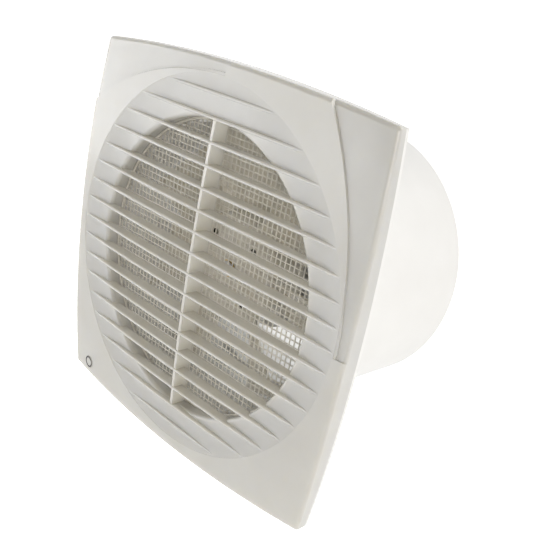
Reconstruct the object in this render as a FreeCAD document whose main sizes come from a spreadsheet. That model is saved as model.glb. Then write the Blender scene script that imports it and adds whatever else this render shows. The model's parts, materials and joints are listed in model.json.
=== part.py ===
import FreeCAD, Part
import math
import os
import re

import Sketcher

# Bathroom extractor fan for a 150 mm duct, in millimetres.
# The origin is on the duct axis in the wall plane: +Y goes into the wall, +Z is up,
# so the louvred front faces -Y.

Vector = FreeCAD.Vector
ALONG_Y = FreeCAD.Rotation(Vector(1, 0, 0), -90)
AXIS_Y = Vector(0, 1, 0)

doc = FreeCAD.newDocument("extractor_fan")

# ---------------------------------------------------------------- driving dimensions
SIZES = {
    "none": 0.0,
    # rear plate and duct spigot
    "plate_half": 95.6, "plate_bow": 5.4, "plate_front": -2.0, "wall_plane": 0.0,
    "spigot_radius": 74.75, "duct_bore": 72.5, "spigot_end": 116.0, "spigot_lead_in": 1.0,
    "collar_radius": 75.9, "collar_back": -0.6,
    "lip_half": 92.8, "lip_wall": 1.6, "lip_front": -4.6, "lip_gap": 0.8,
    "wall_hole_place": 82.0, "wall_hole_radius": 2.4, "wall_pad_radius": 6.0, "wall_pad_front": -3.4,
    "socket_place": 64.0, "socket_radius": 4.6, "socket_hole": 2.46, "socket_front": -7.0,
    "lug_place": 67.4, "lug_radius": 5.4, "lug_front": 44.0, "lug_back": 52.0, "pilot_radius": 1.25,
    # front cover
    "cover_half": 96.0, "cover_bow": 5.4, "cover_back": -2.35, "cover_wall": 2.2, "cover_edge": 2.1,
    "corner_radius": 2.2, "dome_radius": 1220.0, "dome_top": -15.58,
    "step_radius": 1011.0, "step_top": -15.65,
    "swoop_centre": 68.35, "swoop_radius": 163.4, "swoop_draft": 20.0, "swoop_level": 11.5,
    "step_start": 1.9, "step_inner": 50.0,
    "louvre_circle": 94.5, "louvre_lap": 1.8, "hole_radius": 75.0, "hole_tube": 77.4,
    "dish_edge": 0.15, "dish_depth": 2.75, "dish_sag": 0.35, "dish_wall": 2.0, "hole_edge": 1.8,
    "blade_pitch": 10.82, "blades_each_side": 8, "blade_thick": 1.6, "blade_deep": 8.2,
    "blade_root": 0.9, "blade_set_back": 0.25, "blade_nose": 0.7,
    "rib_set_back": 0.9, "rib_thick": 1.7, "rib_back": -4.2,
    "peg_radius": 2.4, "peg_tip": -2.6,
    "badge_place_x": -80.9, "badge_place_z": -89.6, "badge_radius": 3.7, "badge_thick": 0.8,
    "badge_proud": 0.25, "badge_gap": 0.05, "badge_glue": 0.02,
    "badge_ring": 3.35, "badge_ring_wide": 0.6, "badge_groove": 0.2,
    # insect net
    "net_radius": 74.98, "net_rim": 1.1, "net_front": -3.5, "net_back": -2.5, "net_pitch": 3.0,
    "net_every": 4.0, "net_strand": 0.9,
    # impeller
    "hub_radius": 30.0, "hub_front": 13.0, "hub_back": 38.0, "hub_wall": 2.4, "hub_round": 6.0,
    "hub_inner_round": 4.5, "hub_boss": 8.0, "boss_back": 30.0, "hub_rib": 1.6, "hub_rib_deep": 14.0,
    "hub_ribs": 6, "hub_holes": 4, "hub_hole_place": 20.5, "hub_hole_radius": 2.1, "hub_hole_turn": 47.5,
    "vane_tip": 70.7, "vane_count": 7, "vane_mid": 22.5, "vane_thick": 1.9, "vane_camber": 0.07,
    "vane_root": 20.0, "vane_reach": 80.0, "chord_root": 27.0, "chord_tip": 50.0,
    "pitch_root": 46.0, "pitch_tip": 22.0,
    "bush_radius": 4.5, "bush_front": 12.2, "bush_back": 24.0,
    # shaft line
    "shaft_radius": 2.5, "shaft_front": 10.6, "shaft_back": 92.0, "shaft_chamfer": 0.4,
    "clip_front": 11.2, "clip_back": 11.9, "clip_radius": 4.0, "clip_gap": 1.0,
    # motor
    "core_half": 24.0, "core_window": 18.5, "core_clip": 31.6, "core_front": 58.0, "core_back": 76.0,
    "rotor_bore": 10.4, "rotor_radius": 10.0, "pole_half": 7.0, "end_ring_thick": 2.6,
    "end_ring_radius": 9.6, "end_ring_hole": 6.5,
    "bobbin_in": 11.3, "bobbin_out": 18.1, "bobbin_half": 12.6,
    "bobbin_window": 7.2, "bobbin_wall": 0.9, "bobbin_flange": 0.9, "coil_overhang": 4.6,
    "coil_inset": 0.4, "core_gap": 0.3, "shade_wide": 2.4, "shade_thick": 1.0, "shade_high": 0.8,
    "shade_in": 10.2,
    "strap_half": 24.5, "strap_high": 9.0, "strap_thick": 2.0, "strap_gap": 5.6, "leg_half": 5.5,
    "leg_in": 18.8, "leg_inset": 0.6, "leg_root": 0.5, "nose_radius": 7.5, "nose_long": 9.0,
    "nose_inset": 1.4, "bearing_radius": 5.0, "bearing_bore": 2.54, "screw_place": 21.5,
    "screw_radius": 1.5, "screw_hole": 1.62, "screw_head": 2.8, "screw_head_thick": 2.0,
    "screw_front": 47.0, "screw_slot": 0.8, "screw_slot_floor": 1.0,
    "washer_radius": 4.4, "washer_thick": 0.5, "washer_gap": 0.7,
    # motor carrier
    "ring_radius": 72.3, "ring_wall": 1.8, "ring_front": 52.0, "ring_back": 70.0,
    "cup_radius": 36.0, "cup_wall": 2.2, "cup_front": 43.0, "cup_floor": 45.4, "cup_back": 101.0,
    "nose_hole": 9.0, "motor_boss": 4.2, "strut_thick": 2.4, "strut_back": 78.0, "lug_thick": 3.0,
    "shelf_high": 3.6, "shelf_half": 12.0, "shelf_front": 86.0,
    # rear cap and electrics
    "cap_thick": 2.4, "cap_skirt": 5.0, "cap_skirt_wall": 1.6, "cap_gap": 0.2, "cap_screw_place": 30.8,
    "cap_post": 3.4, "cap_post_front": 84.0, "grommet_place": -15.0, "grommet_radius": 5.4,
    "grommet_flange": 7.2, "grommet_bore": 3.4, "grommet_lip": 1.4,
    "cap_relief_high": 12.0, "cap_relief_side": 1.5, "cap_column_front": 95.6,
    "block_half": 10.0, "block_high": 10.0, "block_front": 87.0, "block_back": 99.0,
    "way_place": 5.0, "way_level": 4.2, "clamp_radius": 2.65, "clamp_bore": 1.45, "clamp_inset": 1.0,
    "well_radius": 2.1, "well_high": 10.0, "grub_radius": 1.6, "grub_high": 2.6, "grub_level": 2.7,
    "grub_slot": 0.6, "grub_slot_level": 4.6,
    "lead_radius": 0.9, "lead_start_x": 10.4, "lead_start_z": -15.2, "lead_inset": 0.4,
    "lead_rise": 3.4, "lead_turn": 3.2, "lead_end": 4.0,
    "fuse_radius": 1.7, "fuse_long": 9.0, "fuse_gap": 0.2, "fuse_low": 0.6,
    "thread_screw_long": 7.5, "thread_screw_head": 2.7, "thread_screw_head_thick": 1.8,
    "thread_clearance": 0.15, "saddle_half": 9.0, "saddle_wide": 3.0, "saddle_drop": 3.0,
    "saddle_foot": 1.7, "saddle_front": 93.4, "saddle_back": 96.4,
}

sheet = doc.addObject("Spreadsheet::Sheet", "sizes")
for row, (alias, number) in enumerate(SIZES.items(), start=1):
    sheet.set("A%d" % row, alias)
    sheet.set("B%d" % row, str(number))
    sheet.setAlias("B%d" % row, alias)
doc.recompute()


def dim(alias):
    """A driving dimension, read back from the sheet."""
    return float(sheet.get(alias))


def bound(text):
    """The text with each driving dimension's name pointed at the sheet, as expressions need."""
    return re.sub("[a-z_]+", lambda word: ("sizes." if word[0] in SIZES else "") + word[0], text)


# ---------------------------------------------------------------- building blocks
def rod(name, radius, front, back, across="0", up="0"):
    """A cylinder along +Y from front to back."""
    solid = doc.addObject("Part::Cylinder", name)
    solid.Placement.Rotation = ALONG_Y
    solid.setExpression("Radius", bound(radius))
    solid.setExpression("Height", bound("( %s ) - ( %s )" % (back, front)))
    solid.setExpression("Placement.Base.x", bound(across))
    solid.setExpression("Placement.Base.y", bound(front))
    solid.setExpression("Placement.Base.z", bound(up))
    return solid


def block(name, left, right, front, back, low, high):
    """A box between two values on each axis."""
    solid = doc.addObject("Part::Box", name)
    spans = (("Length", "x", left, right), ("Width", "y", front, back), ("Height", "z", low, high))
    for side, axis, start, end in spans:
        solid.setExpression(side, bound("( %s ) - ( %s )" % (end, start)))
        solid.setExpression("Placement.Base." + axis, bound(start))
    return solid


def join(name, *pieces):
    fused = doc.addObject("Part::MultiFuse", name)
    fused.Shapes = list(pieces)
    fused.Refine = True
    return fused


def group(name, *pieces):
    """Separate solids that share one node."""
    together = doc.addObject("Part::Compound", name)
    together.Links = list(pieces)
    return together


def cut(name, body, *tools):
    cutter = tools[0] if len(tools) == 1 else join(name + "_tools", *tools)
    rest = doc.addObject("Part::Cut", name)
    rest.Base = body
    rest.Tool = cutter
    return rest


def overlap(name, first, second):
    shared = doc.addObject("Part::Common", name)
    shared.Base = first
    shared.Tool = second
    return shared


def tube(name, outer, inner, front, back, across="0", up="0"):
    return cut(name, rod(name + "_outside", outer, front, back, across, up),
               rod(name + "_bore", inner, "( %s ) - 1" % front, "( %s ) + 1" % back, across, up))


def shaped(name, shape):
    """A piece whose shape is made with Part's own functions."""
    piece = doc.addObject("Part::Feature", name)
    piece.Shape = shape
    return piece


def plane_of(body, role):
    return [plane for plane in body.Origin.OriginFeatures if plane.Role == role][0]


def new_sketch(body, role, name):
    sketch = body.newObject("Sketcher::SketchObject", name)
    sketch.AttachmentSupport = (plane_of(body, role), [""])
    sketch.MapMode = "FlatFace"
    return sketch


def hold_point(sketch, edge, across, up, signs=(1, 1)):
    """Fix an edge's start point by two distances from the sketch's origin, bound to the sheet."""
    for kind, alias, sign in (("DistanceX", across, signs[0]), ("DistanceY", up, signs[1])):
        number = sketch.addConstraint(Sketcher.Constraint(kind, -1, 1, edge, 1, sign * dim(alias)))
        sketch.setExpression("Constraints[%d]" % number, ("-" if sign < 0 else "") + bound(alias))


def draw_corners(sketch, corners):
    """A closed outline of straight sides; each corner is a pair of dimension names."""
    points = [Vector(dim(across), dim(up), 0) for across, up in corners]
    count = len(points)
    for number, point in enumerate(points):
        sketch.addGeometry(Part.LineSegment(point, points[(number + 1) % count]), False)
    for number in range(count):
        sketch.addConstraint(Sketcher.Constraint("Coincident", number, 2, (number + 1) % count, 1))
    for number, (across, up) in enumerate(corners):
        hold_point(sketch, number, across, up)


def turned(name, corners):
    """A body turned about the duct axis; corners are (radius, place along Y) pairs."""
    body = doc.addObject("PartDesign::Body", name)
    sketch = new_sketch(body, "XY_Plane", name + "_profile")
    draw_corners(sketch, corners)
    revolution = body.newObject("PartDesign::Revolution", name + "_turned")
    revolution.Profile = sketch
    revolution.ReferenceAxis = (sketch, ["V_Axis"])
    revolution.Angle = 360
    doc.recompute()
    return body


def draw_bowed_square(sketch, half, bow):
    """Four arcs that meet at the corners of a square and bow outward."""
    side, rise = dim(half), dim(bow)
    signs = [(1, 1), (-1, 1), (-1, -1), (1, -1)]
    corners = [Vector(across * side, up * side, 0) for across, up in signs]
    for number in range(4):
        start, end = corners[number], corners[(number + 1) % 4]
        middle = (start + end) * 0.5
        middle = middle * ((side + rise) / middle.Length)
        sketch.addGeometry(Part.Arc(start, middle, end), False)
    for number in range(4):
        sketch.addConstraint(Sketcher.Constraint("Coincident", number, 2, (number + 1) % 4, 1))
    for number in range(4):
        hold_point(sketch, number, half, half, signs[number])
        bend = sketch.Geometry[number].Radius
        fixed = sketch.addConstraint(Sketcher.Constraint("Radius", number, bend))
        sketch.setExpression("Constraints[%d]" % fixed,
                             bound("( %s ^ 2 + %s ^ 2 ) / ( 2 * %s )" % (half, bow, bow)))


def label(piece, name):
    """Names a finished piece, which is written to the file of that name."""
    piece.Label = name
    NODES.append(piece)


NODES = []


# ---------------------------------------------------------------- rear plate and duct spigot
def rear_plate():
    """Rear plate with its duct opening, locating lip, screw holes and peg sockets."""
    plate = doc.addObject("PartDesign::Body", "plate")
    outline = new_sketch(plate, "XZ_Plane", "plate_outline")
    draw_bowed_square(outline, "plate_half", "plate_bow")
    pad = plate.newObject("PartDesign::Pad", "plate_pad")
    pad.Profile = outline
    pad.setExpression("Length", bound("wall_plane - plate_front"))
    doc.recompute()

    lip = doc.addObject("PartDesign::Body", "lip")
    lip_outline = new_sketch(lip, "XZ_Plane", "lip_outline")
    draw_bowed_square(lip_outline, "lip_half", "plate_bow")
    lip_pad = lip.newObject("PartDesign::Pad", "lip_pad")
    lip_pad.Profile = lip_outline
    lip_pad.setExpression("Length", bound("wall_plane - lip_front"))
    doc.recompute()

    places = [(across, up) for across in (1, -1) for up in (1, -1)]
    inner = bowed_prism(dim("lip_half") - dim("lip_wall"), dim("plate_bow"), dim("lip_front") - 1, 1, 0)
    lip_ring = overlap("lip_low", cut("lip_ring", lip, shaped("lip_inside", inner)),
                       shaped("lip_limit", ball(dim("step_top") + dim("cover_wall") + dim("lip_gap"),
                                                dim("step_radius"))))
    pads, sockets, holes = [], [], []
    for number, (across, up) in enumerate(places):
        wall_x, wall_z = "%d * wall_hole_place" % across, "%d * wall_hole_place" % up
        peg_x, peg_z = "%d * socket_place" % across, "%d * socket_place" % up
        pads.append(rod("wall_pad_%d" % number, "wall_pad_radius", "wall_pad_front", "wall_plane",
                        wall_x, wall_z))
        holes.append(rod("wall_hole_%d" % number, "wall_hole_radius", "wall_pad_front - 1", "1",
                         wall_x, wall_z))
        sockets.append(rod("socket_%d" % number, "socket_radius", "socket_front", "wall_plane",
                           peg_x, peg_z))
        holes.append(rod("socket_hole_%d" % number, "socket_hole", "socket_front - 1", "plate_front",
                         peg_x, peg_z))

    opening = rod("plate_opening", "collar_radius", "plate_front - 1", "1")
    pierced = cut("pierced_plate", join("plate_blank", plate, lip_ring, *(pads + sockets)),
                  opening, *holes)
    label(pierced, "rear_plate")


def duct_spigot():
    """Duct spigot with a collar that fills the plate's opening, and three lugs for the motor carrier."""
    spigot = turned("spigot", [("duct_bore", "plate_front"), ("collar_radius", "plate_front"),
                               ("collar_radius", "collar_back"), ("spigot_radius", "collar_back"),
                               ("spigot_radius", "spigot_end"), ("duct_bore", "spigot_end")])
    rim_edges = ["Edge%d" % (number + 1) for number, edge in enumerate(spigot.Shape.Edges)
                 if edge.BoundBox.YMin > dim("spigot_end") - 0.01]
    turned_part = spigot.Tip
    rounding = spigot.newObject("PartDesign::Fillet", "spigot_rounding")
    rounding.Base = (turned_part, rim_edges)
    rounding.setExpression("Radius", bound("spigot_lead_in"))
    doc.recompute()
    lugs = []
    for number, (across, up) in enumerate(lug_places()):
        stem = rod("lug_stem_%d" % number, "lug_radius", "lug_front", "lug_back", across, up)
        pilot = rod("lug_pilot_%d" % number, "pilot_radius", "lug_front + 1", "lug_back + 1", across, up)
        lugs.append(cut("lug_%d" % number, stem, pilot))
    lug_limit = rod("lug_limit", "spigot_radius - 1", "lug_front", "lug_back")
    lug_set = overlap("lug_set", join("lugs", *lugs), lug_limit)
    label(join("spigot_moulding", spigot, lug_set), "duct_spigot")


def lug_places():
    """The three fixing points of the motor carrier, as expressions across and up."""
    angles = [math.radians(90 + 120 * number) for number in range(3)]
    return [("lug_place * %.6f" % math.cos(angle), "lug_place * %.6f" % math.sin(angle))
            for angle in angles]


def bowed_prism(half, bow, front, back, corner):
    """A square prism along Y with bowed sides; corner rounds its four long edges."""
    corners = [Vector(half, front, half), Vector(-half, front, half),
               Vector(-half, front, -half), Vector(half, front, -half)]
    sides = []
    for number in range(4):
        start, end = corners[number], corners[(number + 1) % 4]
        middle = (start + end) * 0.5
        outward = Vector(middle.x, 0, middle.z)
        middle = middle + outward * (bow / outward.Length)
        sides.append(Part.Arc(start, middle, end).toShape())
    prism = Part.Face(Part.Wire(sides)).extrude(Vector(0, back - front, 0))
    if corner:
        prism = prism.makeFillet(corner, [edge for edge in prism.Edges
                                          if edge.BoundBox.YLength > (back - front) * 0.9
                                          and edge.BoundBox.XLength < 0.01])
    return prism


# ---------------------------------------------------------------- front cover
def ball(top, radius):
    """A large sphere whose foremost point is at y = top on the duct axis."""
    return Part.makeSphere(radius, Vector(0, top + radius, 0))


def dome_y(distance):
    """Where the domed front is, at a distance from the duct axis."""
    radius = dim("dome_radius")
    return dim("dome_top") + radius - math.sqrt(radius ** 2 - distance ** 2)


def domed_block(top, radius):
    """The cover's outline, closed at the front by a dome with a rounded edge."""
    back = dim("cover_back")
    prism = bowed_prism(dim("cover_half"), dim("cover_bow"), dim("dome_top") - 5, back,
                        dim("corner_radius"))
    domed = prism.common(ball(top, radius))
    front_edges = [edge for edge in domed.Edges if edge.BoundBox.YMax < back - 0.1]
    return domed.makeFillet(dim("cover_edge"), front_edges)


def swoop_region():
    """Everything outside the long arc, in the corner above the short step."""
    draft = math.tan(math.radians(dim("swoop_draft")))
    front, back = -20.0, 2.0
    level = -dim("swoop_level")
    cone = Part.makeCone(dim("swoop_radius") + (front - level) * draft,
                         dim("swoop_radius") + (back - level) * draft,
                         back - front, Vector(-dim("swoop_centre"), front, 0), AXIS_Y)
    reach = dim("cover_half") + dim("cover_bow") + 10
    inner = dim("step_inner")
    corner = Part.makeBox(reach - inner, back - front, reach + dim("step_start"),
                          Vector(inner, front, -dim("step_start")))
    return corner.cut(cone)


def louvre_space(edge_y, middle, middle_y, inner_y):
    """All the room that blades may fill: under the dome, down to the dish and the hole tube."""
    circle, tube_inside = dim("louvre_circle"), dim("hole_tube") - 1
    set_back, root = dim("blade_set_back"), dim("blade_root")
    back = dim("dome_top") + dim("blade_deep")
    points = [Vector(distance, dome_y(distance) + set_back, 0) for distance in (0, circle / 2, circle)]
    nose_line = Part.Arc(*points).toShape()
    rest = Part.makePolygon([points[2], Vector(circle, edge_y + root, 0),
                             Vector(middle, middle_y + root, 0), Vector(tube_inside, inner_y + root, 0),
                             Vector(tube_inside, back, 0), Vector(0, back, 0), points[0]])
    return Part.Face(Part.Wire([nose_line] + rest.Edges)).revolve(Vector(0, 0, 0), AXIS_Y, 360)


def louvre_blade(space, level):
    """One flat blade at a height, with the two long edges of its nose rounded."""
    half, reach = dim("blade_thick") / 2, dim("louvre_circle") + 5
    plate = Part.makeBox(2 * reach, 20, 2 * half, Vector(-reach, dim("dome_top") - 2, level - half))
    blade = space.common(plate)
    nose_edges = []
    for edge in blade.Edges:
        middle = edge.valueAt((edge.FirstParameter + edge.LastParameter) / 2)
        nose_y = dome_y(math.hypot(middle.x, middle.z)) + dim("blade_set_back")
        if abs(middle.y - nose_y) < 0.01 and abs(abs(middle.z - level) - half) < 0.01:
            nose_edges.append(edge)
    return blade.makeFillet(dim("blade_nose"), nose_edges)


def front_cover():
    """Rim, domed face with two stepped corners, dished ring, louvres, hole tube and pegs."""
    main = domed_block(dim("dome_top"), dim("dome_radius"))
    stepped = domed_block(dim("step_top"), dim("step_radius"))
    region = swoop_region()
    second = region.copy()
    second.rotate(Vector(0, 0, 0), AXIS_Y, -90)
    raised = main.cut(region).cut(second)
    outer = raised.fuse(stepped)

    wall = dim("cover_wall")
    cavity = bowed_prism(dim("cover_half") - wall, dim("cover_bow"), dim("dome_top"), 1, 0)
    cavity = cavity.common(ball(dim("step_top") + wall, dim("step_radius")))
    shell = outer.cut(cavity)
    hole = Part.makeCylinder(dim("louvre_circle"), 30, Vector(0, -25, 0), AXIS_Y)
    shell = shell.cut(hole)

    circle, bore, tube_out = dim("louvre_circle"), dim("hole_radius"), dim("hole_tube")
    edge_y = dome_y(circle) + dim("dish_edge")
    inner_y = dome_y(bore) + dim("dish_depth")
    middle = (circle + bore) / 2
    middle_y = (edge_y + inner_y) / 2 + dim("dish_sag")
    thick = dim("dish_wall")
    lap = circle + dim("louvre_lap")
    dish_line = Part.Arc(Vector(circle, edge_y, 0), Vector(middle, middle_y, 0),
                         Vector(bore, inner_y, 0)).toShape()
    rest = Part.makePolygon([Vector(bore, inner_y, 0), Vector(bore, dim("cover_back"), 0),
                             Vector(tube_out, dim("cover_back"), 0),
                             Vector(tube_out, inner_y + thick, 0),
                             Vector(lap, edge_y + thick, 0), Vector(lap, edge_y + 0.25, 0),
                             Vector(circle, edge_y, 0)])
    ring = Part.Face(Part.Wire([dish_line] + rest.Edges)).revolve(Vector(0, 0, 0), AXIS_Y, 360)
    lip_edges = [edge for edge in ring.Edges
                 if abs(edge.BoundBox.XMax - bore) < 0.01 and edge.BoundBox.YMax < inner_y + 0.01]
    ring = ring.makeFillet(dim("hole_edge"), lip_edges)

    space = louvre_space(edge_y, middle, middle_y, inner_y)
    count = int(dim("blades_each_side"))
    blades = [louvre_blade(space, number * dim("blade_pitch")) for number in range(-count, count + 1)]
    half, high, front = dim("rib_thick") / 2, bore + 1, dim("dome_top") - 2
    rib = Part.makeBox(2 * half, dim("rib_back") - front, 2 * high, Vector(-half, front, -high))
    rib = rib.common(ball(dim("dome_top") + dim("rib_set_back"), dim("dome_radius")))

    pegs = []
    for across in (1, -1):
        for up in (1, -1):
            place = dim("socket_place")
            start = dome_y(math.hypot(place, place)) + thick + 0.4
            pegs.append(Part.makeCylinder(dim("peg_radius"), dim("peg_tip") - start,
                                          Vector(across * place, start, up * place), AXIS_Y))
    whole = shell.fuse(ring).fuse(rib.multiFuse(blades)).multiFuse(pegs)
    seat = badge_solid(dim("badge_radius") + dim("badge_gap"), -1,
                       dim("badge_thick") - dim("badge_proud"))
    whole = whole.cut(seat)
    label(shaped("cover_moulding", whole.removeSplitter().Solids[0]), "front_cover")


def badge_solid(radius, front, back):
    """A disc square to the dome at the badge's place, from front to back of its surface."""
    across, up = dim("badge_place_x"), dim("badge_place_z")
    centre = Vector(0, dim("dome_top") + dim("dome_radius"), 0)
    surface = Vector(across, dome_y(math.hypot(across, up)), up)
    inward = (centre - surface).normalize()
    return Part.makeCylinder(radius, back - front, surface + inward * front, inward)


def badge():
    """A plain disc with one ring groove."""
    proud, ring = dim("badge_proud"), dim("badge_ring")
    disc = badge_solid(dim("badge_radius"), -proud, dim("badge_thick") - proud - dim("badge_glue"))
    groove = badge_solid(ring, -proud - 1, -proud + dim("badge_groove"))
    groove = groove.cut(badge_solid(ring - dim("badge_ring_wide"), -proud - 2, dim("badge_thick")))
    label(shaped("badge_disc", disc.cut(groove)), "badge")


def insect_net():
    """Stout crossed strands in a rim, one strand for every few of the real net's."""
    front, thick = dim("net_front"), dim("net_back") - dim("net_front")
    radius, pitch = dim("net_radius"), dim("net_pitch") * dim("net_every")
    half = dim("net_strand") / 2
    outer = Part.makeCylinder(radius, thick, Vector(0, front, 0), AXIS_Y)
    rim = outer.cut(Part.makeCylinder(radius - dim("net_rim"), thick, Vector(0, front, 0), AXIS_Y))
    count = int(radius / pitch)
    strands = []
    for number in range(-count, count + 1):
        place = number * pitch
        reach = math.sqrt((radius - dim("net_rim") / 2) ** 2 - place ** 2)
        strands.append(Part.makeBox(2 * reach, thick, 2 * half, Vector(-reach, front, place - half)))
        strands.append(Part.makeBox(2 * half, thick, 2 * reach, Vector(place - half, front, -reach)))
    net = rim.multiFuse(strands).removeSplitter()
    label(shaped("net_moulding", net.Solids[0]), "insect_net")


# ---------------------------------------------------------------- impeller and shaft line
def impeller_vane():
    """One twisted blade, lofted outward along +Z: it gets longer and flatter towards the tip."""
    sections = []
    for share in (0, 1 / 3, 2 / 3, 1):
        distance = dim("vane_root") + share * (dim("vane_reach") - dim("vane_root"))
        chord = dim("chord_root") + share * (dim("chord_tip") - dim("chord_root"))
        slope = math.radians(dim("pitch_root") + share * (dim("pitch_tip") - dim("pitch_root")))
        along = Vector(math.cos(slope), math.sin(slope), 0)
        normal = Vector(-math.sin(slope), math.cos(slope), 0)
        middle = Vector(0, dim("vane_mid"), distance)
        rise, thick = chord * dim("vane_camber"), dim("vane_thick")
        start, end = middle - along * (chord / 2), middle + along * (chord / 2)
        over = Part.Arc(start + normal * thick, middle + normal * (rise + thick),
                        end + normal * thick).toShape()
        under = Part.Arc(end, middle + normal * rise, start).toShape()
        sections.append(Part.Wire([over, Part.makeLine(end + normal * thick, end), under,
                                   Part.makeLine(start, start + normal * thick)]))
    return Part.makeLoft(sections, True, False)


def impeller():
    """Hub cup with a centre boss, and seven broad vanes trimmed to the tip circle."""
    front, back = dim("hub_front"), dim("hub_back")
    radius, wall = dim("hub_radius"), dim("hub_wall")
    hub = Part.makeCylinder(radius, back - front, Vector(0, front, 0), AXIS_Y)
    face_edge = [edge for edge in hub.Edges if edge.BoundBox.YMax < front + 0.01]
    hub = hub.makeFillet(dim("hub_round"), face_edge)
    hollow = Part.makeCylinder(radius - wall, back - front, Vector(0, front + wall, 0), AXIS_Y)
    inner_edge = [edge for edge in hollow.Edges if edge.BoundBox.YMax < front + wall + 0.01]
    hub = hub.cut(hollow.makeFillet(dim("hub_inner_round"), inner_edge))
    inside, boss_radius = front + 1, dim("hub_boss")
    boss = Part.makeCylinder(boss_radius, dim("boss_back") - inside, Vector(0, inside, 0), AXIS_Y)
    ribs = []
    for number in range(int(dim("hub_ribs"))):
        rib = Part.makeBox(dim("hub_rib"), dim("hub_rib_deep"), radius - boss_radius,
                           Vector(-dim("hub_rib") / 2, inside, boss_radius - 0.5))
        rib.rotate(Vector(0, 0, 0), AXIS_Y, (number + 0.5) * 360 / dim("hub_ribs"))
        ribs.append(rib)
    hub = hub.multiFuse([boss] + ribs)
    for number in range(int(dim("hub_holes"))):
        angle = math.radians(dim("hub_hole_turn") + number * 360 / dim("hub_holes"))
        place = Vector(dim("hub_hole_place") * math.sin(angle), front - 1,
                       dim("hub_hole_place") * math.cos(angle))
        hub = hub.cut(Part.makeCylinder(dim("hub_hole_radius"), wall + 2, place, AXIS_Y))
    limit = Part.makeCylinder(dim("vane_tip"), 60, Vector(0, 0, 0), AXIS_Y)
    limit = limit.cut(Part.makeCylinder(radius - wall / 3, 60, Vector(0, 0, 0), AXIS_Y))
    trimmed = impeller_vane().common(limit)
    vanes = []
    for number in range(int(dim("vane_count"))):
        vane = trimmed.copy()
        vane.rotate(Vector(0, 0, 0), AXIS_Y, 360.0 * number / dim("vane_count"))
        vanes.append(vane)
    wheel = hub.multiFuse(vanes)
    bush_hole = Part.makeCylinder(dim("bush_radius"), 60, Vector(0, 0, 0), AXIS_Y)
    wheel = wheel.cut(bush_hole).removeSplitter()
    label(shaped("wheel", wheel.Solids[0]), "impeller")


def shaft_line():
    """Brass bush, steel shaft, clip, rotor core, end rings and thrust washers."""
    label(tube("bush_tube", "bush_radius", "shaft_radius", "bush_front", "bush_back"), "impeller_bush")
    shaft = turned("shaft_body", [("none", "shaft_front"), ("shaft_radius", "shaft_front"),
                                  ("shaft_radius", "shaft_back"), ("none", "shaft_back")])
    end_edges = ["Edge%d" % (number + 1) for number, edge in enumerate(shaft.Shape.Edges)
                 if edge.BoundBox.YLength < 0.01 and edge.BoundBox.XLength > 1]
    turned_part = shaft.Tip
    chamfer = shaft.newObject("PartDesign::Chamfer", "shaft_ends")
    chamfer.Base = (turned_part, end_edges)
    chamfer.setExpression("Size", bound("shaft_chamfer"))
    doc.recompute()
    label(shaft, "shaft")
    gap = block("clip_mouth", "0", "clip_radius + 1", "clip_front - 1", "clip_back + 1",
                "-clip_gap", "clip_gap")
    clip = tube("clip_ring", "clip_radius", "shaft_radius", "clip_front", "clip_back")
    label(cut("clip_open", clip, gap), "shaft_clip")
    label(tube("rotor_stack", "rotor_radius", "shaft_radius", "core_front", "core_back"), "rotor_core")
    label(group("end_rings",
                tube("front_end_ring", "end_ring_radius", "end_ring_hole",
                     "core_front - end_ring_thick", "core_front"),
                tube("rear_end_ring", "end_ring_radius", "end_ring_hole",
                     "core_back", "core_back + end_ring_thick")), "rotor_end_rings")
    near, far = "end_ring_thick + washer_gap", "end_ring_thick + washer_gap + washer_thick"
    label(group("washers",
                tube("front_washer", "washer_radius", "shaft_radius",
                     "core_front - ( %s )" % far, "core_front - ( %s )" % near),
                tube("rear_washer", "washer_radius", "shaft_radius",
                     "core_back + " + near, "core_back + " + far)), "thrust_washers")


# ---------------------------------------------------------------- motor
def stator():
    """Square lamination stack with an upper and a lower pole, clipped to fit the cup."""
    frame = block("core_square", "-core_half", "core_half", "core_front", "core_back",
                  "-core_half", "core_half")
    window = block("core_opening", "-core_window", "core_window", "core_front - 1", "core_back + 1",
                   "-core_window", "core_window")
    poles = block("core_poles", "-pole_half", "pole_half", "core_front", "core_back",
                  "-core_window", "core_window")
    bore = rod("core_bore", "rotor_bore", "core_front - 1", "core_back + 1")
    limit = rod("core_round", "core_clip", "core_front", "core_back")
    holes = [rod("core_hole_%d" % number, "screw_hole", "core_front - 1", "core_back + 1",
                 "%d * screw_place" % side) for number, side in enumerate((1, -1))]
    stack = join("core_blank", cut("core_frame", frame, window), poles)
    label(overlap("core", cut("core_bored", stack, bore, *holes), limit), "stator_core")


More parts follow.
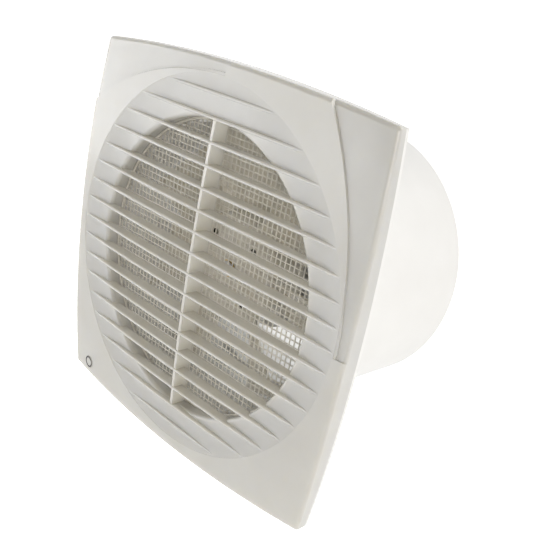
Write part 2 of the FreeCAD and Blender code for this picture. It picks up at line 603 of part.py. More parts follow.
def coil_at(side, name):
    """Bobbin and winding round one pole; side is 1 for the upper pole and -1 for the lower."""
    low, high = ("bobbin_in", "bobbin_out") if side > 0 else ("-bobbin_out", "-bobbin_in")
    front, back = "core_front - coil_overhang", "core_back + coil_overhang"
    former = block(name + "_former", "-bobbin_half", "bobbin_half", front, back, low, high)
    window = block(name + "_window", "-bobbin_window", "bobbin_window", "core_front - core_gap",
                   "core_back + core_gap", "%s - 1" % low, "%s + 1" % high)
    wall = "bobbin_window + bobbin_wall"
    inside_low, inside_high = "%s + bobbin_flange" % low, "%s - bobbin_flange" % high
    wind = block(name + "_wind", "-bobbin_half + coil_inset", "bobbin_half - coil_inset",
                 "%s + coil_inset" % front, "%s - coil_inset" % back, inside_low, inside_high)
    barrel_front, barrel_back = "core_front - core_gap - bobbin_wall", "core_back + core_gap + bobbin_wall"
    barrel = block(name + "_barrel", "-( %s )" % wall, wall, barrel_front, barrel_back,
                   "%s - 1" % inside_low, "%s + 1" % inside_high)
    winding = cut(name + "_turns", wind, barrel)
    channel = block(name + "_channel", "-bobbin_half - 1", "bobbin_half + 1", "%s - 1" % front,
                    "%s + 1" % back, inside_low, inside_high)
    core = block(name + "_core", "-( %s )" % wall, wall, barrel_front, barrel_back,
                 inside_low, inside_high)
    spool = cut(name + "_spool", cut(name + "_blank", former, cut(name + "_groove", channel, core)), window)
    label(spool, name + "_bobbin")
    label(winding, name + "_winding")


def shading_rings():
    """A copper ring set into one horn of each pole tip, drawn as a flat bar across it."""
    rings = []
    for number, side in enumerate((1, -1)):
        for end, place in enumerate(("core_front - shade_thick", "core_back")):
            low = "shade_in" if side > 0 else "-shade_in - shade_high"
            rings.append(block("shade_%d_%d" % (number, end),
                               "pole_half - shade_wide", "pole_half", place, "%s + shade_thick" % place,
                               low, "%s + shade_high" % low))
    label(group("shading_set", *rings), "shading_rings")


def bracket(name, side):
    """Strap with two legs and a bearing nose; side is -1 in front of the core and 1 behind it."""
    face = "core_front" if side < 0 else "core_back"
    sign = "-" if side < 0 else "+"

    def span(near, far):
        ends = ["%s %s ( %s )" % (face, sign, near), "%s %s ( %s )" % (face, sign, far)]
        return ends if side > 0 else ends[::-1]

    plate_front, plate_back = span("strap_gap", "strap_gap + strap_thick")
    nose_front, nose_back = span("strap_gap - nose_inset", "strap_gap - nose_inset + nose_long")
    leg_front, leg_back = span("0", "strap_gap + leg_root")
    strap = block(name + "_strap", "-strap_half", "strap_half", plate_front, plate_back,
                  "-strap_high", "strap_high")
    legs = [block(name + "_leg_%d" % number, left, right, leg_front, leg_back, "-leg_half", "leg_half")
            for number, (left, right) in enumerate((("leg_in", "strap_half - leg_inset"),
                                                    ("-strap_half + leg_inset", "-leg_in")))]
    nose = rod(name + "_nose", "nose_radius", nose_front, nose_back)
    bore = rod(name + "_bore", "bearing_radius", "%s - 1" % nose_front, "%s + 1" % nose_back)
    holes = [rod(name + "_hole_%d" % number, "screw_hole", "%s - 8" % plate_front,
                 "%s + 8" % plate_back, "%d * screw_place" % across)
             for number, across in enumerate((1, -1))]
    label(cut(name + "_cast", join(name + "_blank", strap, nose, *legs), bore, *holes), name)
    bearing = name.replace("bracket", "bearing")
    label(tube(bearing + "_tube", "bearing_radius", "bearing_bore", nose_front, nose_back), bearing)


def motor():
    stator()
    coil_at(1, "upper_coil")
    coil_at(-1, "lower_coil")
    shading_rings()
    bracket("front_bracket", -1)
    bracket("rear_bracket", 1)
    back = "core_back + strap_gap + strap_thick"
    screws = []
    for number, side in enumerate((1, -1)):
        place = "%d * screw_place" % side
        shank = rod("motor_shank_%d" % number, "screw_radius", "screw_front", back + " + 0.5", place)
        head = rod("motor_head_%d" % number, "screw_head", back, back + " + screw_head_thick", place)
        slot = block("motor_slot_%d" % number, "%s - screw_slot / 2" % place, "%s + screw_slot / 2" % place,
                     back + " + screw_slot_floor", back + " + 2 * screw_head_thick",
                     "-screw_head - 1", "screw_head + 1")
        screws.append(cut("motor_screw_%d" % number, join("motor_bolt_%d" % number, shank, head), slot))
    label(group("motor_bolts", *screws), "motor_screws")
    fuse_y = "core_back + coil_overhang + fuse_radius + fuse_gap"
    fuse = doc.addObject("Part::Cylinder", "fuse_body")
    fuse.Placement.Rotation = FreeCAD.Rotation(AXIS_Y, 90)
    fuse.setExpression("Radius", bound("fuse_radius"))
    fuse.setExpression("Height", bound("fuse_long"))
    fuse.setExpression("Placement.Base.x", bound("-fuse_long / 2"))
    fuse.setExpression("Placement.Base.y", bound(fuse_y))
    fuse.setExpression("Placement.Base.z", bound("bobbin_out - fuse_radius - fuse_low"))
    label(fuse, "thermal_fuse")


# ---------------------------------------------------------------- motor carrier
def motor_carrier():
    """Motor cup held by four guide vanes in a ring that slides into the duct."""
    pieces = [tube("cup_tube", "cup_radius", "cup_radius - cup_wall", "cup_front", "cup_back"),
              tube("cup_floor_disc", "cup_radius - 0.5", "nose_hole", "cup_front", "cup_floor")]
    holes = []
    for number, side in enumerate((1, -1)):
        screw_x, cap_x = "%d * screw_place" % side, "%d * cap_screw_place" % side
        pieces.append(rod("motor_boss_%d" % number, "motor_boss", "cup_floor - 0.5",
                          "core_front - strap_gap - strap_thick", screw_x))
        pieces.append(rod("cap_post_%d" % number, "cap_post", "cap_post_front", "cap_column_front",
                          cap_x))
        holes.append(rod("motor_pilot_%d" % number, "screw_radius", "cup_front - 1", "core_front",
                         screw_x))
        holes.append(rod("cap_pilot_%d" % number, "pilot_radius", "cap_post_front + 1", "cup_back",
                         cap_x))
    shelf = block("shelf_slab", "-shelf_half", "shelf_half", "shelf_front", "block_back",
                  "-cup_radius + cup_wall / 2", "-cup_radius + cup_wall + shelf_high")
    pieces.append(overlap("shelf", shelf, rod("shelf_limit", "cup_radius - 0.5", "shelf_front - 1",
                                              "cup_back")))
    label(cut("cup_moulding", join("cup_blank", *pieces), *holes), "motor_cup")

    vanes = []
    inside = dim("ring_radius") - dim("ring_wall")
    channel = Part.makeCylinder(inside, dim("strut_back"), Vector(0, 0, 0), AXIS_Y)
    channel = channel.cut(Part.makeCylinder(dim("cup_radius"), dim("strut_back"), Vector(0, 0, 0), AXIS_Y))
    for number in range(4):
        vane = Part.makeBox(dim("strut_thick"), dim("strut_back") - dim("ring_front"), inside,
                            Vector(-dim("strut_thick") / 2, dim("ring_front"), 10))
        vane.rotate(Vector(0, 0, 0), AXIS_Y, 45 + 90 * number)
        vanes.append(vane.common(channel))
    label(shaped("vane_set", Part.makeCompound(vanes)), "guide_vanes")

    ring = tube("ring_tube", "ring_radius", "ring_radius - ring_wall", "ring_front", "ring_back")
    lugs, lug_holes, screws = [], [], []
    seat = "ring_front + lug_thick"
    for number, (across, up) in enumerate(lug_places()):
        lugs.append(rod("carrier_lug_%d" % number, "lug_radius", "ring_front", seat, across, up))
        lug_holes.append(rod("carrier_hole_%d" % number, "pilot_radius + thread_clearance",
                             "ring_front - 1", seat + " + 1", across, up))
        shank = rod("carrier_shank_%d" % number, "pilot_radius", seat + " - thread_screw_long",
                    seat + " + 0.5", across, up)
        head = rod("carrier_head_%d" % number, "thread_screw_head", seat,
                   seat + " + thread_screw_head_thick", across, up)
        screws.append(join("carrier_screw_%d" % number, shank, head))
    lug_set = overlap("carrier_lugs", join("carrier_lug_set", *lugs),
                      rod("carrier_lug_limit", "ring_radius - 0.5", "ring_front", "ring_back"))
    label(cut("ring_moulding", join("ring_blank", ring, lug_set), *lug_holes), "carrier_ring")
    label(group("carrier_screw_set", *screws), "carrier_screws")


# ---------------------------------------------------------------- rear cap and electrics
def rear_cap():
    """Flanged cap that closes the motor cup, with its two screws, grommet and cable clamp."""
    disc = rod("cap_disc", "cup_radius", "cup_back", "cup_back + cap_thick")
    skirt = tube("cap_skirt_ring", "cup_radius - cup_wall - cap_gap",
                 "cup_radius - cup_wall - cap_gap - cap_skirt_wall", "cup_back - cap_skirt",
                 "cup_back + 0.5")
    relief = block("cap_relief", "-shelf_half - cap_relief_side", "shelf_half + cap_relief_side",
                   "cup_back - cap_skirt - 1", "cup_back", "-cup_radius", "-cup_radius + cap_relief_high")
    columns = [rod("cap_column_%d" % number, "cap_post", "cap_column_front", "cup_back + 0.5",
                   "%d * cap_screw_place" % side) for number, side in enumerate((1, -1))]
    column_set = overlap("cap_columns", join("cap_column_pair", *columns),
                         rod("cap_column_limit", "cup_radius - cup_wall - cap_gap",
                             "cup_back - cap_skirt - 1", "cup_back + 1"))
    holes = [rod("cap_hole_%d" % number, "pilot_radius + thread_clearance", "cup_back - cap_skirt - 1",
                 "cup_back + cap_thick + 1", "%d * cap_screw_place" % side)
             for number, side in enumerate((1, -1))]
    entry = rod("cap_entry", "grommet_radius", "cup_back - 1", "cup_back + cap_thick + 1",
                "0", "-grommet_place")
    label(cut("cap_moulding", join("cap_blank", disc, cut("cap_skirt_open", skirt, relief), column_set),
              entry, *holes), "motor_cap")
    screws = []
    for number, side in enumerate((1, -1)):
        place = "%d * cap_screw_place" % side
        shank = rod("cap_shank_%d" % number, "pilot_radius", "cap_post_front + 2",
                    "cup_back + cap_thick + 0.5", place)
        head = rod("cap_head_%d" % number, "thread_screw_head", "cup_back + cap_thick",
                   "cup_back + cap_thick + thread_screw_head_thick", place)
        screws.append(join("cap_screw_%d" % number, shank, head))
    label(group("cap_screw_set", *screws), "motor_cap_screws")

    sleeve = rod("grommet_sleeve", "grommet_radius", "cup_back - grommet_lip",
                 "cup_back + cap_thick + grommet_lip", "0", "-grommet_place")
    front_lip = rod("grommet_inner_lip", "grommet_flange", "cup_back - grommet_lip", "cup_back",
                    "0", "-grommet_place")
    rear_lip = rod("grommet_outer_lip", "grommet_flange", "cup_back + cap_thick",
                   "cup_back + cap_thick + grommet_lip", "0", "-grommet_place")
    bore = rod("grommet_hole", "grommet_bore", "cup_back - 4", "cup_back + cap_thick + 4",
               "0", "-grommet_place")
    label(cut("grommet", join("grommet_blank", sleeve, front_lip, rear_lip), bore), "cable_grommet")


def upright(name, radius, height, across, along, up):
    """A cylinder that stands along +Z."""
    solid = doc.addObject("Part::Cylinder", name)
    solid.setExpression("Radius", bound(radius))
    solid.setExpression("Height", bound(height))
    for axis, place in (("x", across), ("y", along), ("z", up)):
        solid.setExpression("Placement.Base." + axis, bound(place))
    return solid


def terminals():
    """Two-way terminal block on the shelf, with brass clamps, screws and the motor's two leads."""
    low = "-cup_radius + cup_wall + shelf_high"
    body = block("terminal_body", "-block_half", "block_half", "block_front", "block_back",
                 low, "%s + block_high" % low)
    level, centre = "( %s + way_level )" % low, "( block_front + block_back ) / 2"
    holes, clamps, screws = [], [], []
    for number, side in enumerate((1, -1)):
        place = "%d * way_place" % side
        holes.append(rod("wire_way_%d" % number, "clamp_radius", "block_front - 1", "block_back + 1",
                         place, level))
        holes.append(upright("screw_well_%d" % number, "well_radius", "well_high", place, centre, level))
        clamps.append(tube("clamp_%d" % number, "clamp_radius", "clamp_bore",
                           "block_front + clamp_inset", "block_back - clamp_inset", place, level))
        screw = upright("terminal_screw_%d" % number, "grub_radius", "grub_high", place, centre,
                        "%s + grub_level" % level)
        slot = block("terminal_slot_%d" % number, "%s - grub_slot / 2" % place,
                     "%s + grub_slot / 2" % place, "block_front", "block_back",
                     "%s + grub_slot_level" % level, "%s + grub_slot_level + 2" % level)
        screws.append(cut("terminal_screw_cut_%d" % number, screw, slot))
    label(cut("terminal_shell", body, *holes), "terminal_block")
    label(group("clamp_pair", *clamps), "terminal_clamps")
    label(group("terminal_screw_pair", *screws), "terminal_screws")
    for side, name in ((1, "live_lead"), (-1, "neutral_lead")):
        label(shaped(name + "_wire", lead_shape(side)), name)


def lead_shape(side):
    """A lead from the lower winding's rear to its clamp, in straight runs joined by tangent arcs."""
    level = -dim("cup_radius") + dim("cup_wall") + dim("shelf_high") + dim("way_level")
    clamp_x, block_front = side * dim("way_place"), dim("block_front")
    start = Vector(side * dim("lead_start_x"), dim("core_back") + dim("coil_overhang") - dim("lead_inset"),
                   dim("lead_start_z"))
    route = [start, start + Vector(0, dim("lead_rise"), 0),
             Vector(clamp_x, block_front - dim("lead_turn"), level),
             Vector(clamp_x, block_front + dim("lead_end"), level)]
    edges, last = [], route[0]
    for before, corner, after in zip(route, route[1:], route[2:]):
        back_way, on_way = (before - corner), (after - corner)
        turn = math.pi - back_way.getAngle(on_way)
        trim = 0.45 * min(back_way.Length, on_way.Length)
        radius = trim / math.tan(turn / 2)
        back_way.normalize()
        on_way.normalize()
        enter, leave = corner + back_way * trim, corner + on_way * trim
        top = corner + (back_way + on_way).normalize() * (radius / math.cos(turn / 2) - radius)
        edges += [Part.makeLine(last, enter), Part.Arc(enter, top, leave).toShape()]
        last = leave
    edges.append(Part.makeLine(last, route[-1]))
    section = Part.Wire([Part.makeCircle(dim("lead_radius"), route[0], (route[1] - route[0]))])
    return Part.Wire(edges).makePipeShell([section], True, True)


def cable_clamp():
    """Moulded saddle under the rear cap, below the grommet."""
    low = "-grommet_place - saddle_drop - saddle_wide"
    high = "-grommet_place - saddle_drop + saddle_wide"
    bar = block("clamp_bar", "-saddle_half", "saddle_half", "saddle_front", "saddle_back", low, high)
    feet = [block("clamp_foot_%d" % number, left, right, "saddle_back - 0.1", "cup_back", low, high)
            for number, (left, right) in enumerate((("-saddle_half", "-saddle_half + saddle_foot"),
                                                    ("saddle_half - saddle_foot", "saddle_half")))]
    label(join("clamp_saddle", bar, *feet), "cable_clamp")


def check_and_write():
    doc.recompute()
    for thing in doc.Objects:
        if "Invalid" in thing.State or "Error" in thing.State:
            raise RuntimeError("%s failed: %s" % (thing.Name, thing.State))
    os.makedirs("parts", exist_ok=True)
    for piece in NODES:
        shape = piece.Shape
        if shape.isNull() or not shape.isValid() or not shape.Solids:
            raise RuntimeError("%s has no valid solid" % piece.Label)
        shape.exportStep("parts/%s.step" % piece.Label)


rear_plate()
duct_spigot()
front_cover()
badge()
insect_net()
impeller()
shaft_line()
motor()
motor_carrier()
rear_cap()
terminals()
cable_clamp()
check_and_write()
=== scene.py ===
import json
import math

import bmesh
import bpy
from mathutils import Matrix, Vector


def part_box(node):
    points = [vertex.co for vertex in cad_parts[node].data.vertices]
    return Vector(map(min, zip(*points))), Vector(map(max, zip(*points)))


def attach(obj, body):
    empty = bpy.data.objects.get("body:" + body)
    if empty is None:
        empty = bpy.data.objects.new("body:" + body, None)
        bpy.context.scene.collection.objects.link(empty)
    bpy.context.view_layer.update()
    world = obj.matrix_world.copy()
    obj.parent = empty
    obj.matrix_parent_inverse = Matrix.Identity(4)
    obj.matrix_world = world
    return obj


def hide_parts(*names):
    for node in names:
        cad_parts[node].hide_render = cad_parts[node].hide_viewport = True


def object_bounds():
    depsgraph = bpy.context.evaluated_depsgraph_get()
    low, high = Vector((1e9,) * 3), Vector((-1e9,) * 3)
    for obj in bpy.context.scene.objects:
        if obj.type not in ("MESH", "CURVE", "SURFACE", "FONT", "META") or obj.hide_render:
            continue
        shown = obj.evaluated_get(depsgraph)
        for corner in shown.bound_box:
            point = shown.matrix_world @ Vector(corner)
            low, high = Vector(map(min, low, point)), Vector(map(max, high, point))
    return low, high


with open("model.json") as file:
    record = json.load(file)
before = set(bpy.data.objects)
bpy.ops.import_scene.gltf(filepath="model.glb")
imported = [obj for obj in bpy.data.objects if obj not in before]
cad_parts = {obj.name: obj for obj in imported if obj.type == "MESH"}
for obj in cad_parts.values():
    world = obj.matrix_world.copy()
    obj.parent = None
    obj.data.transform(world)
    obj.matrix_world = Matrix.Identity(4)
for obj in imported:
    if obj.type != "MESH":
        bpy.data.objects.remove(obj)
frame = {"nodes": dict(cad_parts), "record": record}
cad_low, cad_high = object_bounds()

# ---------------------------------------------------------------- sizes, in metres
NET_LOW, NET_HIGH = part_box("insect_net")
NET_PITCH = 0.003
STRAND_RADIUS = 0.00034
STRAND_SIDES = 8
STRAND_GAP = 0.0006     # from a strand's end to the rim's outside
RIM_WIDTH = 0.0011
RIM_STEPS = 128

BADGE_LOW, BADGE_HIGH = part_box("badge")
RING_RADIUS = 0.00305
RING_WIDTH = 0.0009

HUB_INSIDE = 0.0262     # what is within this radius and deeper than HUB_FACE is inside the hub
HUB_FACE = 0.0135

# ---------------------------------------------------------------- marks on moulded plastic
FLOW_MARKS = 35         # noise scales, in features per metre
GLOSS_PATCHES = 160
PEEL = 900
WIDE_PEEL = 250
FINE_HEIGHT = 0.000008
PLAIN_HEIGHT = 0.00002
COAT_ROUGHNESS = 0.12
GLOW_RADIUS = (1.0, 0.92, 0.74)
RING_COLOUR = (0.01, 0.01, 0.01)
# HUB_SHADOW is painted shade, laid on the inside of the hub
HUB_SHADOW = (0.015, 0.013, 0.01)

# ---------------------------------------------------------------- the studio
DIM_LIGHT = (0.06, 0.045, 0.02)
BRIGHT_LIGHT = (1.06, 1.06, 1.05)
BRIGHT_SIDE = (-0.42, 0.85, -0.38)
DIM_FROM = -0.62        # share of BRIGHT_SIDE in a direction, where the light is dimmest and brightest
BRIGHT_FROM = 0.65
FLOOR_SIDE = 12.0
FLOOR_DROP = 0.16
FLOOR_GLOW = 0.29
FLOOR_SHOW = 0.45       # added to the glow where the camera sees the floor

MIX_SHARE, MIX_FIRST, MIX_SECOND, MIX_RESULT = 0, 6, 7, 2    # a colour mix node's sockets


# ---------------------------------------------------------------- materials
class Finish:
    """A material on one Principled shader, with its patterns in object coordinates."""

    def __init__(self, name, roughness, metallic=0.0, **shader_values):
        self.material = bpy.data.materials.new(name)
        self.material.use_nodes = True
        self.tree = self.material.node_tree
        self.shader = self.tree.nodes["Principled BSDF"]
        self.place = self.tree.nodes.new("ShaderNodeTexCoord").outputs["Object"]
        self.shader.inputs["Roughness"].default_value = roughness
        self.shader.inputs["Metallic"].default_value = metallic
        for socket, number in shader_values.items():
            self.shader.inputs[socket.replace("_", " ")].default_value = number

    def add(self, kind, **values):
        node = self.tree.nodes.new(kind)
        for key, value in values.items():
            if key in node.inputs:
                node.inputs[key].default_value = value
            else:
                setattr(node, key, value)
        return node

    def link(self, source, target):
        self.tree.links.new(source, target)

    def calculate(self, operation, *values):
        """One maths node, fed with sockets and plain numbers."""
        node = self.add("ShaderNodeMath", operation=operation)
        for value, target in zip(values, node.inputs):
            if isinstance(value, bpy.types.NodeSocket):
                self.link(value, target)
            else:
                target.default_value = value
        return node.outputs["Value"]

    def noise(self, scale, detail=3.0, stretch=None):
        """Noise with features of about 1 / scale metres, stretched along the axes if asked."""
        pattern = self.add("ShaderNodeTexNoise", Scale=scale, Detail=detail)
        source = self.place
        if stretch:
            mapping = self.add("ShaderNodeMapping")
            mapping.inputs["Scale"].default_value = stretch
            self.link(source, mapping.inputs["Vector"])
            source = mapping.outputs["Vector"]
        self.link(source, pattern.inputs["Vector"])
        return pattern.outputs["Fac"]

    def colour(self, pattern, dark, light):
        ramp = self.add("ShaderNodeValToRGB")
        for element, position, shade in zip(ramp.color_ramp.elements, (0.3, 0.7), (dark, light)):
            element.position = position
            element.color = (*shade, 1)
        self.link(pattern, ramp.inputs["Fac"])
        self.link(ramp.outputs["Color"], self.shader.inputs["Base Color"])

    def gloss(self, pattern, smooth, rough):
        span = self.add("ShaderNodeMapRange")
        span.inputs["To Min"].default_value = smooth
        span.inputs["To Max"].default_value = rough
        self.link(pattern, span.inputs["Value"])
        self.link(span.outputs["Result"], self.shader.inputs["Roughness"])

    def relief(self, pattern, height):
        """Bump of a given height in metres."""
        bump = self.add("ShaderNodeBump", Strength=1.0, Distance=height)
        self.link(pattern, bump.inputs["Height"])
        self.link(bump.outputs["Normal"], self.shader.inputs["Normal"])

    def glow(self, weight, depth):
        """Light that soaks into the plastic, to a depth in metres."""
        self.shader.inputs["Subsurface Weight"].default_value = weight
        self.shader.inputs["Subsurface Radius"].default_value = GLOW_RADIUS
        self.shader.inputs["Subsurface Scale"].default_value = depth

    def distance_from(self, centre):
        """Distance from the line along Y through a centre."""
        offset = self.add("ShaderNodeVectorMath", operation="SUBTRACT")
        offset.inputs[1].default_value = centre
        flat = self.add("ShaderNodeVectorMath", operation="MULTIPLY")
        flat.inputs[1].default_value = (1, 0, 1)
        length = self.add("ShaderNodeVectorMath", operation="LENGTH")
        self.link(self.place, offset.inputs[0])
        self.link(offset.outputs["Vector"], flat.inputs[0])
        self.link(flat.outputs["Vector"], length.inputs[0])
        return length.outputs["Value"]

    def paint_over(self, mask, shade):
        """Lays a plain colour over the base colour where the mask is 1."""
        base = self.shader.inputs["Base Color"].links[0].from_socket
        mix = self.add("ShaderNodeMix", data_type="RGBA")
        mix.inputs[MIX_SECOND].default_value = (*shade, 1)
        self.link(mask, mix.inputs[MIX_SHARE])
        self.link(base, mix.inputs[MIX_FIRST])
        self.link(mix.outputs[MIX_RESULT], self.shader.inputs["Base Color"])


def moulded(name, dark, light, smooth, rough, grain=PEEL, height=FINE_HEIGHT, coat=0.3,
            glow=None, paint=None):
    """Moulded plastic: faint flow marks in the colour, uneven gloss and a very fine orange peel."""
    finish = Finish(name, smooth, Coat_Weight=coat, Coat_Roughness=COAT_ROUGHNESS)
    if glow:
        finish.glow(*glow)
    finish.colour(finish.noise(FLOW_MARKS, 4), dark, light)
    if paint:
        paint(finish)
    finish.gloss(finish.noise(GLOSS_PATCHES, 5), smooth, rough)
    finish.relief(finish.noise(grain, 3), height)
    return finish.material


def badge_ring(finish):
    """A dark ring printed in the badge's groove."""
    distance = finish.distance_from((BADGE_LOW + BADGE_HIGH) / 2)
    finish.paint_over(finish.calculate("COMPARE", distance, RING_RADIUS, RING_WIDTH / 2), RING_COLOUR)


def hub_shadow(finish):
    """Painted shade: the closed inside of the hub, coloured as dark as it looks through the holes in its
    face.
    """
    parts = finish.add("ShaderNodeSeparateXYZ")
    finish.link(finish.place, parts.inputs["Vector"])
    within = finish.calculate("LESS_THAN", finish.distance_from((0, 0, 0)), HUB_INSIDE)
    behind = finish.calculate("GREATER_THAN", parts.outputs["Y"], HUB_FACE)
    finish.paint_over(finish.calculate("MULTIPLY", within, behind), HUB_SHADOW)


def metal(name, dark, light, smooth, rough, stretch=(1, 1, 1), scale=400, height=0.00001):
    """Bare metal with marks drawn out along one direction."""
    finish = Finish(name, smooth, metallic=1.0)
    finish.colour(finish.noise(scale, 4, stretch), dark, light)
    finish.gloss(finish.noise(scale * 0.6, 4, stretch), smooth, rough)
    finish.relief(finish.noise(scale * 1.5, 4, stretch), height)
    return finish.material


# name: function, dark shade, light shade, smooth, rough, and what differs from the function's usual values
FINISH_ROWS = {
    "white_abs": (moulded, (0.71, 0.69, 0.64), (0.75, 0.735, 0.69), 0.14, 0.28, {"glow": (0.6, 0.01)}),
    "housing_white": (moulded, (0.865, 0.863, 0.85), (0.895, 0.893, 0.883), 0.3, 0.4,
                      {"grain": WIDE_PEEL, "height": PLAIN_HEIGHT}),
    "badge_white": (moulded, (0.62, 0.61, 0.58), (0.68, 0.67, 0.64), 0.18, 0.3,
                    {"height": PLAIN_HEIGHT, "paint": badge_ring}),
    # impeller_white carries painted shade on the inside of the hub, through hub_shadow
    "impeller_white": (moulded, (0.80, 0.76, 0.67), (0.84, 0.81, 0.73), 0.2, 0.36,
                       {"height": PLAIN_HEIGHT, "glow": (0.5, 0.004), "paint": hub_shadow}),
    "net_plastic": (moulded, (0.86, 0.83, 0.75), (0.90, 0.875, 0.81), 0.35, 0.5, {"coat": 0.0}),
    "bobbin_nylon": (moulded, (0.70, 0.68, 0.58), (0.78, 0.76, 0.68), 0.4, 0.55, {"coat": 0.0}),
    "terminal_nylon": (moulded, (0.66, 0.66, 0.62), (0.74, 0.74, 0.71), 0.4, 0.55, {"coat": 0.0}),
    "grommet_rubber": (moulded, (0.02, 0.02, 0.02), (0.05, 0.05, 0.05), 0.55, 0.75, {"coat": 0.0}),
    "live_insulation": (moulded, (0.14, 0.05, 0.02), (0.2, 0.08, 0.03), 0.35, 0.5, {}),
    "neutral_insulation": (moulded, (0.02, 0.06, 0.26), (0.04, 0.1, 0.36), 0.35, 0.5, {}),
    "fuse_black": (moulded, (0.02, 0.02, 0.02), (0.05, 0.05, 0.05), 0.35, 0.5, {}),
    "brass_part": (metal, (0.58, 0.42, 0.16), (0.78, 0.6, 0.3), 0.2, 0.38, {"stretch": (1, 0.1, 1)}),
    "bright_steel": (metal, (0.5, 0.5, 0.5), (0.7, 0.7, 0.69), 0.2, 0.4, {"stretch": (1, 0.1, 1)}),
    "lamination": (metal, (0.12, 0.12, 0.125), (0.42, 0.42, 0.43), 0.35, 0.6,
                   {"stretch": (0.02, 4, 0.02)}),
    "cast_metal": (metal, (0.48, 0.48, 0.49), (0.62, 0.62, 0.63), 0.35, 0.55, {}),
    "copper_wire": (metal, (0.30, 0.10, 0.04), (0.62, 0.27, 0.13), 0.25, 0.4, {"stretch": (0.05, 1, 6)}),
}
FINISHES = {name: make(name, dark, light, smooth, rough, **extra)
            for name, (make, dark, light, smooth, rough, extra) in FINISH_ROWS.items()}
SLOT_OF_NODE = {row["node"]: row["material_slot"] for row in frame["record"]["subparts"]}


def finish_cad_nodes():
    for node, thing in frame["nodes"].items():
        material = FINISHES[SLOT_OF_NODE[node]]
        for number in range(len(thing.material_slots)):
            thing.material_slots[number].material = material


# ---------------------------------------------------------------- insect net
def add_strands(mesh, rim):
    """Round strands both ways, which cross in one layer."""
    centre_y = (NET_LOW.y + NET_HIGH.y) / 2
    reach = rim - STRAND_GAP
    count = int(reach / NET_PITCH)
    for number in range(-count, count + 1):
        place = number * NET_PITCH
        half = math.sqrt(reach ** 2 - place ** 2)
        ways = ((Vector((0, centre_y, place)), Matrix.Rotation(math.pi / 2, 4, "Y")),
                (Vector((place, centre_y, 0)), Matrix.Identity(4)))
        for spot, turn in ways:
            bmesh.ops.create_cone(mesh, cap_ends=True, segments=STRAND_SIDES, radius1=STRAND_RADIUS,
                                  radius2=STRAND_RADIUS, depth=2 * half,
                                  matrix=Matrix.Translation(spot) @ turn)


def add_rim(mesh, rim):
    """The flat ring round the strands."""
    corners = ((rim - RIM_WIDTH, NET_LOW.y), (rim, NET_LOW.y), (rim, NET_HIGH.y),
               (rim - RIM_WIDTH, NET_HIGH.y))
    loops = []
    for step in range(RIM_STEPS):
        turn = 2 * math.pi * step / RIM_STEPS
        loops.append([mesh.verts.new((far * math.cos(turn), deep, far * math.sin(turn)))
                      for far, deep in corners])
    for step in range(RIM_STEPS):
        here, there = loops[step], loops[(step + 1) % RIM_STEPS]
        for corner in range(len(corners)):
            after = (corner + 1) % len(corners)
            mesh.faces.new((here[corner], here[after], there[after], there[corner]))
    bmesh.ops.recalc_face_normals(mesh, faces=mesh.faces)


def make_net():
    """The fine moulded net, which takes the place of the coarse one."""
    mesh = bmesh.new()
    add_strands(mesh, NET_HIGH.x)
    add_rim(mesh, NET_HIGH.x)
    data = bpy.data.meshes.new("fine_net")
    mesh.to_mesh(data)
    mesh.free()
    for face in data.polygons:
        face.use_smooth = True
    net = bpy.data.objects.new("fine_net", data)
    bpy.context.scene.collection.objects.link(net)
    data.materials.append(FINISHES["net_plastic"])
    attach(net, "cover")
    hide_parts("insect_net")


# ---------------------------------------------------------------- floor, light and camera
def make_floor():
    """A pale floor some way below the fan, which looks white to the camera."""
    data = bpy.data.meshes.new("floor")
    side, low = FLOOR_SIDE, cad_low.z - FLOOR_DROP
    data.from_pydata([(-side, -side, low), (side, -side, low), (side, side, low), (-side, side, low)],
                     [], [(0, 1, 2, 3)])
    floor = bpy.data.objects.new("floor", data)
    bpy.context.scene.collection.objects.link(floor)
    finish = Finish("floor_paper", 0.9)
    finish.colour(finish.noise(3, 2), (0.86, 0.86, 0.86), (0.89, 0.89, 0.89))
    seen = finish.add("ShaderNodeLightPath").outputs["Is Camera Ray"]
    finish.shader.inputs["Emission Color"].default_value = (1, 1, 1, 1)
    finish.link(finish.calculate("MULTIPLY_ADD", seen, FLOOR_SHOW, FLOOR_GLOW),
                finish.shader.inputs["Emission Strength"])
    data.materials.append(finish.material)


def add_light(name, place, size, power, colour=(1, 1, 1)):
    """A round soft light that faces the middle of the fan's back plate."""
    lamp = bpy.data.lights.new(name, "AREA")
    lamp.shape = "DISK"
    lamp.size = size
    lamp.energy = power
    lamp.color = colour
    thing = bpy.data.objects.new(name, lamp)
    thing.location = place
    thing.rotation_euler = (-Vector(place)).to_track_quat("-Z", "Y").to_euler()
    bpy.context.scene.collection.objects.link(thing)


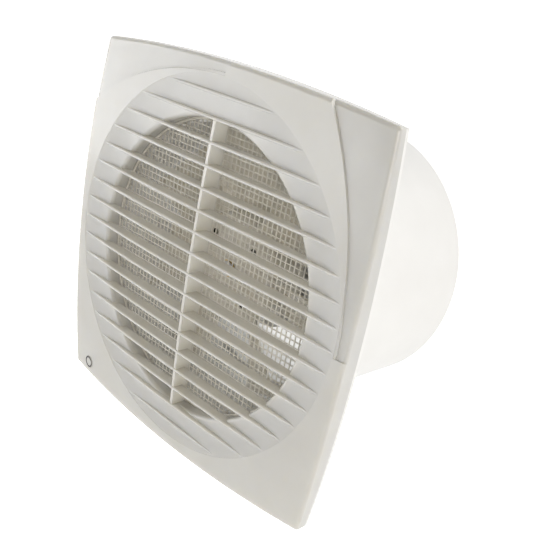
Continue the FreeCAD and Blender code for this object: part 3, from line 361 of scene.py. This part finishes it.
def make_world():
    """A studio that is bright behind the fan and to its left, and dimmer and warmer opposite.

    The backdrop itself is pale in every direction.
    """
    world = bpy.data.worlds.new("studio")
    world.use_nodes = True
    tree = world.node_tree
    direction = tree.nodes.new("ShaderNodeTexCoord").outputs["Generated"]
    toward = tree.nodes.new("ShaderNodeVectorMath")
    toward.operation = "DOT_PRODUCT"
    toward.inputs[1].default_value = Vector(BRIGHT_SIDE).normalized()
    share = tree.nodes.new("ShaderNodeMapRange")
    share.interpolation_type = "SMOOTHSTEP"
    share.inputs["From Min"].default_value = DIM_FROM
    share.inputs["From Max"].default_value = BRIGHT_FROM
    seen = tree.nodes.new("ShaderNodeMath")
    seen.operation = "MAXIMUM"
    mix = tree.nodes.new("ShaderNodeMix")
    mix.data_type = "RGBA"
    mix.inputs[MIX_FIRST].default_value = (*DIM_LIGHT, 1)
    mix.inputs[MIX_SECOND].default_value = (*BRIGHT_LIGHT, 1)
    tree.links.new(direction, toward.inputs[0])
    tree.links.new(toward.outputs["Value"], share.inputs["Value"])
    tree.links.new(share.outputs["Result"], seen.inputs[0])
    tree.links.new(tree.nodes.new("ShaderNodeLightPath").outputs["Is Camera Ray"], seen.inputs[1])
    tree.links.new(seen.outputs["Value"], mix.inputs[MIX_SHARE])
    tree.links.new(mix.outputs[MIX_RESULT], tree.nodes["Background"].inputs["Color"])
    bpy.context.scene.world = world


def make_camera():
    """The camera stands in front of the right edge, above the middle, and leans to its left."""
    place = Vector((0.2648, -0.2550, 0.1328))
    aim = Vector((0.0379, 0.0167, -0.0256))
    lean = math.radians(11.95)
    data = bpy.data.cameras.new("camera")
    data.lens = 50.05
    data.sensor_width = 36.0
    data.shift_y = 0.12
    camera = bpy.data.objects.new("camera", data)
    facing = (aim - place).to_track_quat("-Z", "Y").to_matrix().to_4x4()
    camera.matrix_world = Matrix.Translation(place) @ facing @ Matrix.Rotation(lean, 4, "Z")
    bpy.context.scene.collection.objects.link(camera)
    bpy.context.scene.camera = camera


finish_cad_nodes()
make_net()
make_floor()
make_world()
add_light("upper_right_back", (1.0, 0.9, 1.6), 1.2, 22)
add_light("left_front", (-1.1, -0.95, -0.15), 1.6, 15, (0.98, 0.99, 1))
add_light("right_front", (1.3, -0.8, 0.2), 0.5, 5, (1, 0.96, 0.9))
make_camera()
bpy.context.scene.view_settings.view_transform = "Standard"
